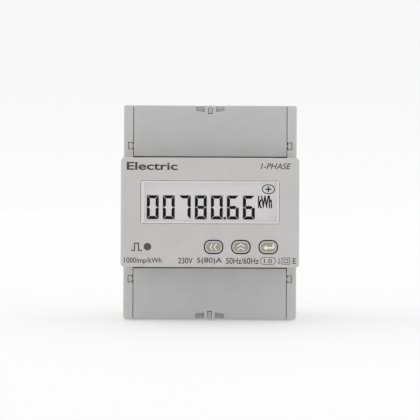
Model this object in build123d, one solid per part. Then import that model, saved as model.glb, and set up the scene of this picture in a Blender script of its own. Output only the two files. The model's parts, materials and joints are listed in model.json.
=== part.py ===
from build123d import *
import os
from math import cos, radians, sin

# A four-module DIN-rail electricity meter, as separate sub-parts.
# X runs across the meter, Z up, and Y from the front face (low) to the wall side (high).
# The origin is the middle of the footprint that the meter stands on.
# Lengths are in millimetres. A name that ends in _Y, _Z or _X is a place on that axis.

# ---- driving dimensions ----
WIDTH = 72.0
HEIGHT = 90.0
DEPTH = 66.0
FRONT_BLOCK_HEIGHT = 44.2
SHOULDER_TO_RAIL = 44.0          # shoulder face to the rail's mounting face
RAIL_SLOT_DEPTH = 5.0            # rail's mounting face to the back of the case
RAIL_HEIGHT = 35.0
BUTTON_PROUD = 0.4               # how far the buttons stand out of the front face
WALL = 2.0
PARTING_Y = 10.0                 # where the front case meets the rear case
SEAM_CHAMFER = 0.25
END_RELIEF = 0.5                 # the front stands back from both end faces by this much
RELIEF_BACK_Y = -6.0

# ---- places worked out from them ----
HALF_W = WIDTH / 2
MID_Z = HEIGHT / 2
BACK_Y = DEPTH / 2
RAIL_Y = BACK_Y - RAIL_SLOT_DEPTH
SHOULDER_Y = RAIL_Y - SHOULDER_TO_RAIL
BUTTON_FRONT_Y = -DEPTH / 2
FACE_Y = BUTTON_FRONT_Y + BUTTON_PROUD
FACE_BACK_Y = FACE_Y + WALL
BLOCK_LOW_Z = MID_Z - FRONT_BLOCK_HEIGHT / 2
BLOCK_HIGH_Z = MID_Z + FRONT_BLOCK_HEIGHT / 2
INNER_X = HALF_W - WALL
FLOOR_Y = RAIL_Y - 2.3           # inside face of the wall behind the rail
SIDES = (-1, 1)

# ---- terminal covers and their hinge ----
COVER_HALF_W = 31.85
COVER_THICK = 2.0
CHEEK_X = 32.05                  # inner face of the cheeks beside the covers
CHEEK_BACK_Y = SHOULDER_Y + 5.0
END_WALL_Y = SHOULDER_Y + 7.3    # the case's end walls start behind the cover's skirt
COVER_LOW_Z = BLOCK_HIGH_Z + 1.2
COVER_HIGH_Z = HEIGHT - END_RELIEF
HINGE_Z = BLOCK_HIGH_Z + 5.55
HINGE_Y = SHOULDER_Y + 1.4
TRUNNION_R = 1.65
TRUNNION_END_X = 33.85
SEAL_SLOT_HALF_W = 0.95
SEAL_LUG_HALF_W = 0.75
COVER_RIB_X = (-24.0, -16.0, 16.0, 24.0)
SKIRT_DEPTH = 7.0
SKIRT_THICK = 2.0

# ---- main terminals ----
MAIN_X = 20.5
SCREW_Z = HEIGHT - 10.0          # height of the upper main terminal screws
BLOCK_FRONT_Y = SHOULDER_Y + 4.5
BLOCK_BACK_Y = 14.0
BLOCK_HALF_W = 27.8
BLOCK_INNER_Z = 69.0
BLOCK_OUTER_Z = HEIGHT - END_RELIEF - 0.1
WING_HIGH_Z = 81.2
SHELF_FRONT_Y = -8.4             # the screw heads bear on this shelf
SHELF_BACK_Y = -7.6
HEAD_HEIGHT = 2.6
HEAD_R = 4.0
SHANK_R = 2.5
BAR_FRONT_Y = 0.7
BAR_THICK = 2.0
BAR_HALF_W = 4.0
CAGE_HALF_W = 6.0
CAGE_HALF_L = 4.5
CAGE_FRONT_Y = -2.0              # open position; the cage rises 5.2 mm from here
CAGE_NUT_THICK = 2.6
CAGE_MOUTH = 10.1                # clear length of the cage's opening, front to back
CAGE_WALL = 1.5
WIRE_HALF_W = 4.4
WIRE_LOW_Y = BAR_FRONT_Y + BAR_THICK + 0.1
WIRE_HIGH_Y = CAGE_FRONT_Y + CAGE_NUT_THICK + CAGE_MOUTH - 0.1

# ---- auxiliary terminals, four small poles below the front block ----
POLE_PITCH = 5.0
POLE_X = [POLE_PITCH * (i - 1.5) for i in range(4)]
POLE_NAMES = ("bus_a", "bus_b", "pulse_plus", "pulse_minus")
AUX_SCREW_Z = HEIGHT - SCREW_Z
AUX_HALF_W = 10.8
AUX_LOW_Z = 3.0
AUX_HIGH_Z = 17.0
AUX_FRONT_Y = -9.5
AUX_BACK_Y = 6.0
AUX_SHELF_Y = -6.9
AUX_HEAD_R = 1.8
AUX_SHANK_R = 1.2
AUX_CAGE_FRONT_Y = -3.6
AUX_CAGE_LENGTH = 7.6
AUX_BAR_Y = -1.7

# ---- display and buttons ----
LENS_X = (-28.0, 28.0)
LENS_Z = (40.35, 57.85)
WINDOW_X = (-26.7, 27.1)
WINDOW_Z = (41.1, 57.15)
CONTROL_Z = 31.15                # height of the buttons and of the pulse lamp
BUTTON_X = {"left": 1.5, "up": 12.5, "enter": 23.5}
BUTTON_HOLE = (7.9, 5.8, 2.65)    # width, height, corner radius
BUTTON_GAP = 0.5
LAMP_X = -25.1
DISPLAY_BOARD_Y = -23.0
BOARD_THICK = 1.6

# ---- main board ----
MAIN_BOARD_Y = 17.0
MAIN_BOARD_HALF_W = 31.5
MAIN_BOARD_Z = (25.5, 64.5)
BOARD_SCREW = (29.0, 29.5)       # X and lower Z of the board's corner screws
CASE_SCREW_X = 31.3
CASE_SCREW_Z = 4.7
CASE_HEAD_Y = BACK_Y - 4.0       # the case screws' heads bear here
BOARD_POST = (31.3, 27.6)        # X and lower Z of the display board's posts
HOOK_Z = ((29.0, 35.0), (55.0, 61.0))

# ---- rail clip ----
CLIP_HALF_W = 8.0
CLIP_FLANGE_HALF_W = 9.4
CLIP_FRONT_Y = RAIL_Y + 1.2
CLIP_BACK_Y = BACK_Y - 0.2
CLIP_TOP_Z = 28.6
CLIP_GAP = 0.2
SPRING_LOW_Z = 7.2
SPRING_HIGH_Z = 20.0
SPRING_COIL_R = 1.45
SPRING_WIRE_R = 0.22
SPRING_TURNS = 7


# ---- building blocks ----
def block(x, y, z):
    """A plain box between pairs of places on each axis."""
    size = [span[1] - span[0] for span in (x, y, z)]
    return Pos(sum(x) / 2, sum(y) / 2, sum(z) / 2) * Box(*size)


def tile(x, y, z, radius):
    """A box whose corners are rounded as seen from the front."""
    outline = RectangleRounded(x[1] - x[0], z[1] - z[0], radius)
    placed = Plane.XZ.offset(-y[1]) * Pos(sum(x) / 2, sum(z) / 2) * outline
    return extrude(placed, amount=y[1] - y[0])


def post(x, y, z, radius):
    """A box whose corners are rounded as seen from above."""
    outline = RectangleRounded(x[1] - x[0], y[1] - y[0], radius)
    placed = Plane.XY.offset(z[0]) * Pos(sum(x) / 2, sum(y) / 2) * outline
    return extrude(placed, amount=z[1] - z[0])


def rod_x(radius, x, y, z):
    return Pos(sum(x) / 2, y, z) * Rot(0, 90, 0) * Cylinder(radius, x[1] - x[0])


def rod_y(radius, x, y, z):
    return Pos(x, sum(y) / 2, z) * Rot(90, 0, 0) * Cylinder(radius, y[1] - y[0])


def rod_z(radius, x, y, z):
    return Pos(x, y, sum(z) / 2) * Cylinder(radius, z[1] - z[0])


def profile_x(points, x):
    """A prism along X from an outline of (y, z) points."""
    outline = Plane.YZ.offset(x[0]) * make_face(Polyline(*points, close=True))
    return extrude(outline, amount=x[1] - x[0])


def front_edges(shape):
    """The outline of the foremost face, which meets the eye first."""
    return shape.faces().sort_by(Axis.Y)[0].edges()


def back_edges(shape):
    return shape.faces().sort_by(Axis.Y)[-1].edges()


def flipped(shape):
    """The same piece for the lower end of the meter."""
    return mirror(shape, about=Plane.XY.offset(MID_Z))


def both(x):
    """Two spans, mirrored about the middle of the meter."""
    return (tuple(x), (-x[1], -x[0]))


def corners(x, z):
    """Four places, mirrored left to right and top to bottom."""
    return [(side * x, height) for side in SIDES for height in (z, HEIGHT - z)]


# ---- case ----
def trunnion_slot(side):
    """Keyhole in a cheek: the cover's trunnion snaps in past a narrower mouth."""
    x = sorted((side * (CHEEK_X - 0.2), side * (TRUNNION_END_X + 0.25)))
    seat = rod_x(TRUNNION_R + 0.08, x, HINGE_Y, HINGE_Z)
    half_mouth = TRUNNION_R - 0.1
    mouth = block(x, (SHOULDER_Y - 1, HINGE_Y), (HINGE_Z - half_mouth, HINGE_Z + half_mouth))
    return seat + mouth


def terminal_bay():
    """The open space at the upper end that takes a terminal block and its cover."""
    beyond = HEIGHT + 2
    front = block((-CHEEK_X, CHEEK_X), (SHOULDER_Y - 2, CHEEK_BACK_Y), (BLOCK_HIGH_Z, beyond))
    rear = block((-INNER_X, INNER_X), (CHEEK_BACK_Y, PARTING_Y + 1), (BLOCK_HIGH_Z, beyond))
    bay = front + rear
    for side in SIDES:
        bay += trunnion_slot(side)
    return bay


def case_hooks():
    """Four snap hooks on the front case, which catch in windows of the rear case."""
    hooks = []
    for side in SIDES:
        for z in HOOK_Z:
            outline = [(32.6, 4.0), (INNER_X, 4.0), (INNER_X, 9.9), (33.8, 9.9), (33.8, 16.0)]
            outline += [(34.9, 16.0), (33.8, 19.6), (32.6, 19.6)]
            face = make_face(Polyline(*[(side * x, y) for x, y in outline], close=True))
            hooks.append(extrude(Plane.XY.offset(z[0]) * face, amount=z[1] - z[0]))
    return hooks


def front_case():
    front = tile((-HALF_W, HALF_W), (FACE_Y, SHOULDER_Y + 4), (BLOCK_LOW_Z, BLOCK_HIGH_Z), 1.5)
    front = fillet(front_edges(front), 1.0)
    relieved_z = (END_RELIEF, HEIGHT - END_RELIEF)
    cheeks = tile((-HALF_W, HALF_W), (SHOULDER_Y, RELIEF_BACK_Y + 1), relieved_z, 1.0)
    cheeks = fillet(front_edges(cheeks), 0.8)
    body = tile((-HALF_W, HALF_W), (RELIEF_BACK_Y, PARTING_Y), (0, HEIGHT), 1.0)
    body = chamfer(back_edges(body), SEAM_CHAMFER)
    case = front + cheeks + body
    room = (BLOCK_LOW_Z + WALL, BLOCK_HIGH_Z - WALL)
    case -= block((-INNER_X, INNER_X), (FACE_BACK_Y, PARTING_Y + 1), room)
    bay = terminal_bay()
    case -= bay
    case -= flipped(bay)
    # corners that close the ends beside the terminal blocks
    ends = ((BLOCK_HALF_W + 0.3, END_WALL_Y), (CHEEK_X, CHEEK_BACK_Y - 0.5))
    for inner_x, front_y in ends:
        for x in both((inner_x, INNER_X + 0.5)):
            corner = block(x, (front_y, PARTING_Y), (HEIGHT - WALL, HEIGHT - END_RELIEF))
            case += corner
            case += flipped(corner)
    # slots that the busbars pass through, open towards the rear case
    for x in (-MAIN_X, MAIN_X):
        span_x = (x - BAR_HALF_W - 0.3, x + BAR_HALF_W + 0.3)
        case -= block(span_x, (BAR_FRONT_Y - 0.3, PARTING_Y + 1), (BLOCK_LOW_Z - 1, BLOCK_HIGH_Z + 1))
    # display window, with a shallow seat for the lens
    case -= tile(WINDOW_X, (FACE_Y - 1, FACE_BACK_Y + 1), WINDOW_Z, 0.6)
    case -= tile(LENS_X, (FACE_Y - 1, FACE_Y + 1.0), LENS_Z, 1.0)
    width, height, radius = BUTTON_HOLE
    for x in BUTTON_X.values():
        span_x = (x - width / 2, x + width / 2)
        span_z = (CONTROL_Z - height / 2, CONTROL_Z + height / 2)
        case -= tile(span_x, (FACE_Y - 1, FACE_BACK_Y + 1), span_z, radius)
    case -= rod_y(1.5, LAMP_X, (FACE_Y - 1, FACE_BACK_Y + 1), CONTROL_Z)
    # posts that the display board is screwed to
    for x, z in corners(*BOARD_POST):
        case += rod_y(2.2, x, (FACE_BACK_Y - 0.5, DISPLAY_BOARD_Y), z)
        case -= rod_y(0.95, x, (FACE_BACK_Y + 0.8, DISPLAY_BOARD_Y + 1), z)
    # posts that take the case screws
    for x, z in corners(CASE_SCREW_X, CASE_SCREW_Z):
        case += rod_y(3.0, x, (-8.6, PARTING_Y), z)
        case -= rod_y(1.5, x, (-6.0, PARTING_Y + 1), z)
    for hook in case_hooks():
        case += hook
    return case


def rail_slot():
    """The 35 mm rail's space in the back: a plain slot with an undercut below the upper hook."""
    low_z = MID_Z - RAIL_HEIGHT / 2 - 0.3
    high_z = MID_Z + RAIL_HEIGHT / 2 + 0.3
    hook_z = high_z - 1.5
    beyond = BACK_Y + 1
    floor_y = RAIL_Y - 0.3
    outline = [(floor_y, low_z), (beyond, low_z - 0.6), (beyond, hook_z + 1.2)]
    outline += [(BACK_Y - 1.5, hook_z), (RAIL_Y + 1.3, hook_z), (RAIL_Y + 1.3, high_z), (floor_y, high_z)]
    return profile_x(outline, (-HALF_W - 1, HALF_W + 1))


def rear_case():
    case = tile((-HALF_W, HALF_W), (PARTING_Y, BACK_Y), (0, HEIGHT), 1.0)
    case = fillet(back_edges(case), 0.8)
    case = chamfer(front_edges(case), SEAM_CHAMFER)
    inside_z = (WALL, HEIGHT - WALL)
    case -= block((-INNER_X, INNER_X), (PARTING_Y - 1, FLOOR_Y), inside_z)
    # deeper pockets above the rail and on both sides of the clip
    case -= block((-INNER_X, INNER_X), (FLOOR_Y - 1, BACK_Y - WALL), (65.5, HEIGHT - WALL))
    for x in both((11.6, INNER_X)):
        case -= block(x, (FLOOR_Y - 1, BACK_Y - WALL), (WALL, 24.5))
    # the terminal blocks' outer ends come through the end walls
    notch = block((-28.1, 28.1), (PARTING_Y - 1, BLOCK_BACK_Y + 0.2), (HEIGHT - WALL - 1, HEIGHT + 1))
    case -= notch
    case -= flipped(notch)
    case -= rail_slot()
    # seat pads for the rail's face
    for x in (-24.0, 0.0, 24.0):
        case += block((x - 5, x + 5), (RAIL_Y - 0.5, RAIL_Y), (32.0, 58.0))
    # T-shaped channel for the clip, and the stop boss that the spring stands on
    beyond_z = MID_Z - RAIL_HEIGHT / 2 + 0.5
    channel_y = CLIP_FRONT_Y - CLIP_GAP
    flange = CLIP_FLANGE_HALF_W + CLIP_GAP
    neck = CLIP_HALF_W + CLIP_GAP
    case -= block((-flange, flange), (channel_y, CLIP_FRONT_Y + 1.6), (-1, beyond_z))
    case -= block((-neck, neck), (CLIP_FRONT_Y + 1.5, BACK_Y + 1), (-1, beyond_z))
    case += block((-2.6, 2.6), (channel_y - 0.5, BACK_Y - 0.5), (5.0, SPRING_LOW_Z))
    # bosses for the case screws, wider behind the terminal blocks
    for x, z in corners(CASE_SCREW_X, CASE_SCREW_Z):
        case += rod_y(3.0, x, (PARTING_Y + 0.05, BLOCK_BACK_Y + 1), z)
        case += rod_y(4.2, x, (BLOCK_BACK_Y + 0.6, BACK_Y - 1), z)
        case -= rod_y(1.7, x, (PARTING_Y - 1, BACK_Y + 1), z)
        case -= rod_y(3.0, x, (CASE_HEAD_Y, BACK_Y + 1), z)
    # standoffs for the main board
    for x, z in corners(*BOARD_SCREW):
        case += rod_y(2.6, x, (MAIN_BOARD_Y + BOARD_THICK, FLOOR_Y + 0.5), z)
        case -= rod_y(1.25, x, (MAIN_BOARD_Y, FLOOR_Y - 0.6), z)
    # windows that the front case's hooks catch in
    for z in HOOK_Z:
        for x in both((33, 37)):
            case -= block(x, (15.8, 20.0), (z[0] - 0.3, z[1] + 0.3))
    return case


def display_lens():
    gap = 0.06
    x = (LENS_X[0] + gap, LENS_X[1] - gap)
    z = (LENS_Z[0] + gap, LENS_Z[1] - gap)
    lens = tile(x, (FACE_Y + 0.1, FACE_Y + 0.98), z, 0.9)
    lens = chamfer(front_edges(lens), 0.15)
    x = (WINDOW_X[0] + gap, WINDOW_X[1] - gap)
    z = (WINDOW_Z[0] + gap, WINDOW_Z[1] - gap)
    return lens + tile(x, (FACE_Y + 0.5, FACE_BACK_Y), z, 0.5)


# ---- terminal covers ----
def terminal_cover():
    back_y = SHOULDER_Y + COVER_THICK
    full_x = (-COVER_HALF_W, COVER_HALF_W)
    cover = block(full_x, (SHOULDER_Y, back_y), (COVER_LOW_Z, COVER_HIGH_Z))
    cover += block(full_x, (SHOULDER_Y, SHOULDER_Y + SKIRT_DEPTH), (COVER_HIGH_Z - SKIRT_THICK, COVER_HIGH_Z))
    outer_edge = cover.edges().filter_by(Axis.X).group_by(Axis.Y)[0].sort_by(Axis.Z)[-1]
    cover = fillet(outer_edge, 1.0)
    cover = fillet(front_edges(cover).filter_by(Axis.Z), 0.5)
    # stiffening ribs inside, and ears that carry the trunnions
    for x in both((COVER_HALF_W - 1.4, COVER_HALF_W)):
        cover += block(x, (back_y - 0.5, CHEEK_BACK_Y - 0.3), (76.0, COVER_HIGH_Z - 1))
        cover += block(x, (back_y - 0.5, HINGE_Y + 1.7), (HINGE_Z - 1.5, HINGE_Z + 1.5))
    # a lattice of low ribs on the inner face
    for x in COVER_RIB_X:
        cover += block((x - 0.5, x + 0.5), (back_y - 0.3, back_y + 0.9), (75.0, COVER_HIGH_Z - 1))
    cover += block((2 - COVER_HALF_W, COVER_HALF_W - 2), (back_y - 0.3, back_y + 0.9), (79.5, 80.5))
    # thumb pockets on both sides of the seal slot, cut into a thicker boss
    cover += block((-7.2, 7.2), (back_y - 0.5, back_y + 2.2), (85.4, COVER_HIGH_Z - 1))
    arc_r = 34.0
    pocket = block((-5.9, 5.9), (SHOULDER_Y - 1, SHOULDER_Y + 2.8), (86.0, HEIGHT + 1))
    pocket &= rod_y(arc_r, 0, (SHOULDER_Y - 2, SHOULDER_Y + 4), COVER_HIGH_Z - 2.8 + arc_r)
    pocket -= block((-2.3, 2.3), (SHOULDER_Y - 2, SHOULDER_Y + 4), (85.0, HEIGHT + 2))
    cover -= pocket
    rims = front_edges(cover).filter_by(lambda edge: edge.center().Z > 86 and abs(edge.center().X) < 6.5)
    cover = chamfer(rims.filter_by(lambda edge: edge.center().Z < COVER_HIGH_Z - 1.1), 0.2)
    slot_x = (-SEAL_SLOT_HALF_W, SEAL_SLOT_HALF_W)
    cover -= block(slot_x, (SHOULDER_Y - 1, SHOULDER_Y + SKIRT_DEPTH + 1), (86.0, HEIGHT + 1))
    # square passage for the seal wire
    cover -= block((-3, 3), (SHOULDER_Y + 0.9, SHOULDER_Y + 2.3), (87.3, 88.7))
    for side in SIDES:
        neck_x = sorted((side * (COVER_HALF_W - 0.5), side * (CHEEK_X + 0.4)))
        pin_x = sorted((side * (CHEEK_X + 0.3), side * TRUNNION_END_X))
        pin = rod_x(TRUNNION_R, pin_x, HINGE_Y, HINGE_Z)
        pin -= block((-40, 40), (SHOULDER_Y - 2, SHOULDER_Y + 0.1), (HINGE_Z - 3, HINGE_Z + 3))
        cover += rod_x(0.8, neck_x, HINGE_Y, HINGE_Z) + pin
    return cover


# ---- terminal blocks ----
def block_body():
    """The moulded block shared by both ends: steps at the front clear the cover's swing."""
    outline = [(-9.5, BLOCK_INNER_Z), (-9.5, 74.3), (BLOCK_FRONT_Y, 74.3), (BLOCK_FRONT_Y, 85.2)]
    outline += [(-8.6, 85.2), (-8.6, BLOCK_OUTER_Z)]
    outline += [(BLOCK_BACK_Y, BLOCK_OUTER_Z), (BLOCK_BACK_Y, BLOCK_INNER_Z)]
    body = profile_x(outline, (-BLOCK_HALF_W, BLOCK_HALF_W))
    body = fillet(body.edges().filter_by(Axis.Z).group_by(Axis.Y)[0], 0.8)
    for x in both((BLOCK_HALF_W - 0.5, INNER_X - 0.3)):
        wing = block(x, (-9.5, BLOCK_BACK_Y - 0.2), (BLOCK_INNER_Z, WING_HIGH_Z))
        inward = -1.2 if x[0] > 0 else 1.2
        hollow_x = (x[0] + inward, x[1] + inward)
        hollow_z = (BLOCK_INNER_Z + 1.2, WING_HIGH_Z - 1.2)
        body += wing - block(hollow_x, (-7.5, BLOCK_BACK_Y), hollow_z)
    for side in SIDES:
        body -= main_chamber(side * MAIN_X)
    # lip that closes the space under the cover's hinge end
    body += block((-BLOCK_HALF_W, BLOCK_HALF_W), (-9.5, -8.3), (BLOCK_HIGH_Z + 0.2, BLOCK_INNER_Z + 0.2))
    # seal lug, which comes out through the cover's slot
    lug_x = (-SEAL_LUG_HALF_W, SEAL_LUG_HALF_W)
    body += block(lug_x, (SHOULDER_Y + 0.15, -8.5), (86.3, BLOCK_OUTER_Z))
    body -= block((-2, 2), (SHOULDER_Y + 0.9, SHOULDER_Y + 2.3), (87.3, 88.7))
    return body


def main_chamber(x):
    """Space for one rising cage, its screw, the end of a busbar and the wire."""
    room_x = (x - CAGE_HALF_W - 0.25, x + CAGE_HALF_W + 0.25)
    cage_z = (SCREW_Z - CAGE_HALF_L - 0.3, SCREW_Z + CAGE_HALF_L + 0.3)
    space = block(room_x, (SHELF_BACK_Y, BLOCK_BACK_Y + 1), cage_z)
    space += rod_y(HEAD_R + 0.3, x, (BLOCK_FRONT_Y - 1, SHELF_FRONT_Y), SCREW_Z)
    space += rod_y(SHANK_R + 0.3, x, (SHELF_FRONT_Y - 1, SHELF_BACK_Y + 1), SCREW_Z)
    wire_x = (x - WIRE_HALF_W, x + WIRE_HALF_W)
    space += post(wire_x, (WIRE_LOW_Y, WIRE_HIGH_Y), (SCREW_Z, HEIGHT + 1), 1.8)
    flare_x = (wire_x[0] - 0.6, wire_x[1] + 0.6)
    space += post(flare_x, (WIRE_LOW_Y - 0.6, WIRE_HIGH_Y + 0.6), (BLOCK_OUTER_Z - 0.8, HEIGHT + 1), 2.2)
    bar_x = (x - BAR_HALF_W - 0.2, x + BAR_HALF_W + 0.2)
    bar_y = (BAR_FRONT_Y - 0.2, BAR_FRONT_Y + BAR_THICK + 0.2)
    return space + block(bar_x, bar_y, (BLOCK_INNER_Z - 1, SCREW_Z))


def top_terminal_block():
    body = block_body()
    core = block((-12.0, 12.0), (SHELF_BACK_Y, BLOCK_BACK_Y + 1), (BLOCK_INNER_Z + 1.5, BLOCK_OUTER_Z - 2.0))
    return body - core


def bottom_terminal_block():
    body = flipped(block_body())
    inner_z = HEIGHT - BLOCK_INNER_Z
    window = block((-11.0, 11.0), (BLOCK_FRONT_Y - 1, BLOCK_BACK_Y + 1), (AUX_LOW_Z - 0.1, inner_z - 2.4))
    window -= block((-0.85, 0.85), (SHOULDER_Y, -10.5), (0, HEIGHT - 86.3))
    body -= window
    for x in POLE_X:
        wire_y = (AUX_BAR_Y + 1.1, AUX_BAR_Y + 4.2)
        body -= post((x - 1.4, x + 1.4), wire_y, (-1, AUX_LOW_Z + 1), 0.6)
    return body


# ---- terminal clamps ----
def screw_head(radius, y, height, slot, x, z):
    """A pan head with a cross and a slot, facing the front."""
    head = rod_y(radius, x, (y - height, y), z)
    head = fillet(front_edges(head), height * 0.2)
    depth = (y - height - 1, y - height * 0.45)
    head -= block((x - radius - 1, x + radius + 1), depth, (z - slot / 2, z + slot / 2))
    reach = radius * 0.62
    return head - block((x - slot / 2, x + slot / 2), depth, (z - reach, z + reach))


def main_screw(x):
    head = screw_head(HEAD_R, SHELF_FRONT_Y, HEAD_HEIGHT, 1.2, x, SCREW_Z)
    shank = rod_y(SHANK_R, x, (SHELF_FRONT_Y - 0.2, BAR_FRONT_Y - 0.1), SCREW_Z)
    shank = chamfer(back_edges(shank), 0.5)
    return head + shank


def main_cage(x):
    length = CAGE_NUT_THICK + CAGE_MOUTH + CAGE_WALL
    z = (SCREW_Z - CAGE_HALF_L, SCREW_Z + CAGE_HALF_L)
    cage = post((x - CAGE_HALF_W, x + CAGE_HALF_W), (CAGE_FRONT_Y, CAGE_FRONT_Y + length), z, 1.0)
    mouth_y = (CAGE_FRONT_Y + CAGE_NUT_THICK, CAGE_FRONT_Y + CAGE_NUT_THICK + CAGE_MOUTH)
    mouth_x = (x - CAGE_HALF_W + CAGE_WALL, x + CAGE_HALF_W - CAGE_WALL)
    cage -= post(mouth_x, mouth_y, (z[0] - 1, z[1] + 1), 0.6)
    return cage - rod_y(SHANK_R + 0.06, x, (CAGE_FRONT_Y - 1, mouth_y[0] + 1), SCREW_Z)


def aux_screw(x):
    head = screw_head(AUX_HEAD_R, AUX_SHELF_Y, 1.5, 0.6, x, AUX_SCREW_Z)
    return head + rod_y(AUX_SHANK_R, x, (AUX_SHELF_Y - 0.2, AUX_BAR_Y - 0.1), AUX_SCREW_Z)


def aux_cage(x):
    z = (AUX_SCREW_Z - 2.2, AUX_SCREW_Z + 2.2)
    back_y = AUX_CAGE_FRONT_Y + AUX_CAGE_LENGTH
    cage = block((x - 1.9, x + 1.9), (AUX_CAGE_FRONT_Y, back_y), z)
    mouth_y = (AUX_CAGE_FRONT_Y + 1.8, back_y - 0.8)
    cage -= block((x - 1.25, x + 1.25), mouth_y, (z[0] - 1, z[1] + 1))
    return cage - rod_y(AUX_SHANK_R + 0.05, x, (AUX_CAGE_FRONT_Y - 1, mouth_y[0] + 1), AUX_SCREW_Z)


def aux_terminal_block():
    y = (AUX_FRONT_Y, AUX_BACK_Y)
    body = block((-AUX_HALF_W, AUX_HALF_W), y, (AUX_LOW_Z, AUX_HIGH_Z))
    body = chamfer(front_edges(body).filter_by(Axis.X), 0.8)
    for x in POLE_X:
        z = (AUX_SCREW_Z - 2.35, AUX_SCREW_Z + 2.35)
        body -= block((x - 2.05, x + 2.05), (AUX_SHELF_Y + 0.8, AUX_BACK_Y + 1), z)
        body -= rod_y(AUX_HEAD_R + 0.15, x, (AUX_FRONT_Y - 1, AUX_SHELF_Y), AUX_SCREW_Z)
        body -= rod_y(AUX_SHANK_R + 0.15, x, (AUX_SHELF_Y - 1, AUX_SHELF_Y + 2), AUX_SCREW_Z)
        wire_y = (AUX_BAR_Y + 1.1, AUX_BAR_Y + 4.2)
        body -= post((x - 1.4, x + 1.4), wire_y, (AUX_LOW_Z - 1, AUX_SCREW_Z), 0.6)
        body -= block((x - 1.1, x + 1.1), (AUX_BAR_Y - 0.1, AUX_BAR_Y + 1.1), (AUX_SCREW_Z, 14.3))
        body -= block((x - 0.6, x + 0.6), (AUX_BAR_Y, AUX_BACK_Y + 1), (13.0, 14.3))
    return body


def aux_pins():
    """Four bent contacts, from inside the small cages to the main board's tongue."""
    pins = []
    for x in POLE_X:
        contact = block((x - 1.0, x + 1.0), (AUX_BAR_Y, AUX_BAR_Y + 0.9), (AUX_SCREW_Z - 2.0, 14.2))
        leg = block((x - 0.45, x + 0.45), (AUX_BAR_Y, MAIN_BOARD_Y + BOARD_THICK + 0.6), (13.3, 14.2))
        pins.append(contact + leg)
    return Compound(children=pins)


# ---- current path ----
def busbar(x):
    y = (BAR_FRONT_Y, BAR_FRONT_Y + BAR_THICK)
    return block((x - BAR_HALF_W, x + BAR_HALF_W), y, (HEIGHT - SCREW_Z - 4.3, SCREW_Z + 4.3))


def current_transformer():
    bar_y = BAR_FRONT_Y + BAR_THICK / 2
    ring = rod_z(11.2, -MAIN_X, bar_y, (38.0, 52.0))
    ring = fillet(ring.edges().filter_by(GeomType.CIRCLE), 1.5)
    return ring - rod_z(5.2, -MAIN_X, bar_y, (37.0, 53.0))


def ct_leads():
    leads = []
    for z in (40.0, 43.2):
        start = (-MAIN_X + 11.25, 2.0, z)
        path = FilletPolyline(start, (-4.6, 2.0, z), (-4.6, MAIN_BOARD_Y - 0.05, z), radius=2.5)
        section = Plane(origin=start, z_dir=(1, 0, 0)) * Circle(0.6)
        leads.append(sweep(section, path=path))
    return Compound(children=leads)


def voltage_taps():
    """One solder post from each busbar to the main board."""
    posts = [rod_y(0.7, side * MAIN_X, (BAR_FRONT_Y + BAR_THICK, MAIN_BOARD_Y), 58.0) for side in SIDES]
    return Compound(children=posts)


# ---- main board and what is on it ----
def main_board():
    y = (MAIN_BOARD_Y, MAIN_BOARD_Y + BOARD_THICK)
    board = tile((-MAIN_BOARD_HALF_W, MAIN_BOARD_HALF_W), y, MAIN_BOARD_Z, 1.5)
    board += block((-10.5, 10.5), y, (9.0, MAIN_BOARD_Z[0] + 1))
    for x, z in corners(*BOARD_SCREW):
        board -= rod_y(1.6, x, (y[0] - 1, y[1] + 1), z)
    for x in POLE_X:
        board -= block((x - 0.6, x + 0.6), (y[0] - 1, y[1] + 1), (13.1, 14.4))
    return board


def board_screws():
    screws = []
    for x, z in corners(*BOARD_SCREW):
        head = screw_head(2.4, MAIN_BOARD_Y, 1.6, 0.7, x, z)
        screws.append(head + rod_y(1.2, x, (MAIN_BOARD_Y - 0.2, MAIN_BOARD_Y + 6.5), z))
    return Compound(children=screws)


def transformer_core():
    y = (3.5, MAIN_BOARD_Y - 1.5)
    core = block((-1.5, 14.5), y, (29.0, 39.0))
    core -= block((1.0, 4.6), (y[0] - 1, y[1] + 1), (28.0, 40.0))
    return core - block((8.4, 12.0), (y[0] - 1, y[1] + 1), (28.0, 40.0))


def transformer_coil():
    """A wound bobbin round the middle limb of the core, on a base with feet."""
    y = (3.5, MAIN_BOARD_Y - 1.5)
    coil = post((1.1, 11.9), (y[0] + 1.0, y[1]), (26.4, 41.6), 1.0)
    coil -= block((4.5, 8.5), (y[0] - 1, y[1] + 1), (28.9, 39.1))
    for x in ((-2.0, 1.05), (11.95, 15.0)):
        coil -= block(x, (y[0] - 1, y[1] + 1), (20.0, 45.0))
    return coil + block((0.5, 12.5), (y[1], MAIN_BOARD_Y), (26.0, 42.0))


def filter_capacitors():
    cans = []
    for x, z, radius, tall in ((28.0, 39.0, 3.1, 9.0), (28.0, 46.5, 3.1, 9.0), (-6.0, 31.0, 4.0, 11.0)):
        can = rod_y(radius, x, (MAIN_BOARD_Y - tall, MAIN_BOARD_Y), z)
        cans.append(fillet(front_edges(can), 0.6))
    return Compound(children=cans)


def backup_battery():
    cell = rod_y(8.0, 12.5, (MAIN_BOARD_Y - 4.0, MAIN_BOARD_Y - 0.6), 51.5)
    cell = fillet(front_edges(cell), 0.6)
    for x in both((5.4, 7.0)):
        cell += block((12.5 + x[0], 12.5 + x[1]), (MAIN_BOARD_Y - 1.0, MAIN_BOARD_Y), (50.0, 53.0))
    return cell


def varistor():
    disc = rod_x(5.0, (-14.5, -10.5), MAIN_BOARD_Y - 6.4, 31.0)
    disc = fillet(disc.edges().filter_by(GeomType.CIRCLE), 1.2)
    for z in (28.5, 33.5):
        disc += rod_y(0.4, -12.5, (MAIN_BOARD_Y - 5.0, MAIN_BOARD_Y), z)
    return disc


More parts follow.
